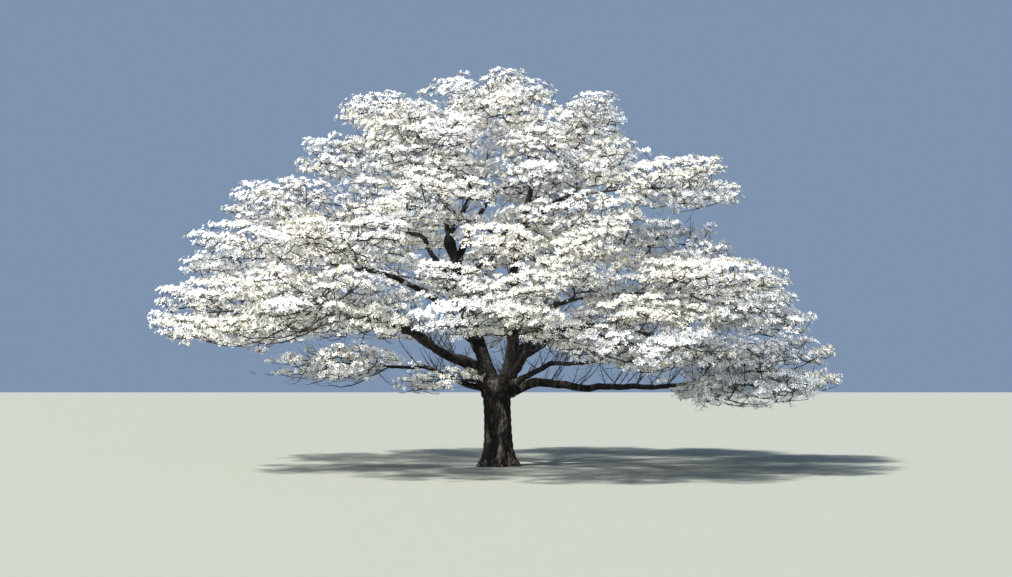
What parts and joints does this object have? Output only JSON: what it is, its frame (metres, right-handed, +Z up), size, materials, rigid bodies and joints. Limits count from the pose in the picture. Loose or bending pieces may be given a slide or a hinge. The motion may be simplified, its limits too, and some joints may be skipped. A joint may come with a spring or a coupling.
{
  "type": "flowering dogwood",
  "caption": "Old flowering dogwood in full bloom: a short flared trunk, two leaders, tiered boughs and flat layers of white blossom in a broad crown that hangs lower on one side.",
  "frame": {"origin": "middle of the flat cut under the trunk, at ground level", "axes": "+Z up along the trunk; +X towards the side of the crown that hangs low, to the right in the picture; the picture is taken from -Y, looking along +Y"},
  "size_m": [10.1721, 9.1185, 6.186],
  "materials": {
    "bark": "rough, broken into small blocks",
    "blossom": "matt, thin bracts"
  },
  "bodies": {
    "root": {"trunk": "bark", "leader_left": "bark", "leader_right": "bark", "bough_skirt_1": "bark", "bough_skirt_2": "bark", "bough_skirt_3": "bark", "bough_skirt_4": "bark", "bough_skirt_5": "bark", "bough_lower_1": "bark", "bough_lower_2": "bark", "bough_lower_3": "bark", "bough_lower_4": "bark", "bough_middle_1": "bark", "bough_middle_2": "bark", "bough_middle_3": "bark", "bough_upper_1": "bark", "bough_upper_2": "bark", "bough_upper_3": "bark", "bough_low": "bark", "bough_low_left": "bark", "bough_low_right": "bark", "blossom_skirt_1": "blossom", "blossom_skirt_2": "blossom", "blossom_skirt_3": "blossom", "blossom_skirt_4": "blossom", "blossom_skirt_5": "blossom", "blossom_skirt_6": "blossom", "blossom_skirt_7": "blossom", "blossom_skirt_8": "blossom", "blossom_skirt_9": "blossom", "blossom_skirt_10": "blossom", "blossom_lower_1": "blossom", "blossom_lower_2": "blossom", "blossom_lower_3": "blossom", "blossom_lower_4": "blossom", "blossom_lower_5": "blossom", "blossom_lower_6": "blossom", "blossom_lower_7": "blossom", "blossom_lower_8": "blossom", "blossom_middle_1": "blossom", "blossom_middle_2": "blossom", "blossom_middle_3": "blossom", "blossom_middle_4": "blossom", "blossom_middle_5": "blossom", "blossom_middle_6": "blossom", "blossom_upper_1": "blossom", "blossom_upper_2": "blossom", "blossom_upper_3": "blossom", "blossom_upper_4": "blossom", "blossom_upper_5": "blossom", "blossom_upper_6": "blossom", "blossom_top_1": "blossom", "blossom_top_2": "blossom", "blossom_top_3": "blossom", "blossom_top_4": "blossom", "blossom_top_5": "blossom", "blossom_top_6": "blossom", "blossom_low": "blossom", "blossom_low_left": "blossom", "blossom_low_right": "blossom"}
  },
  "joints": []
}
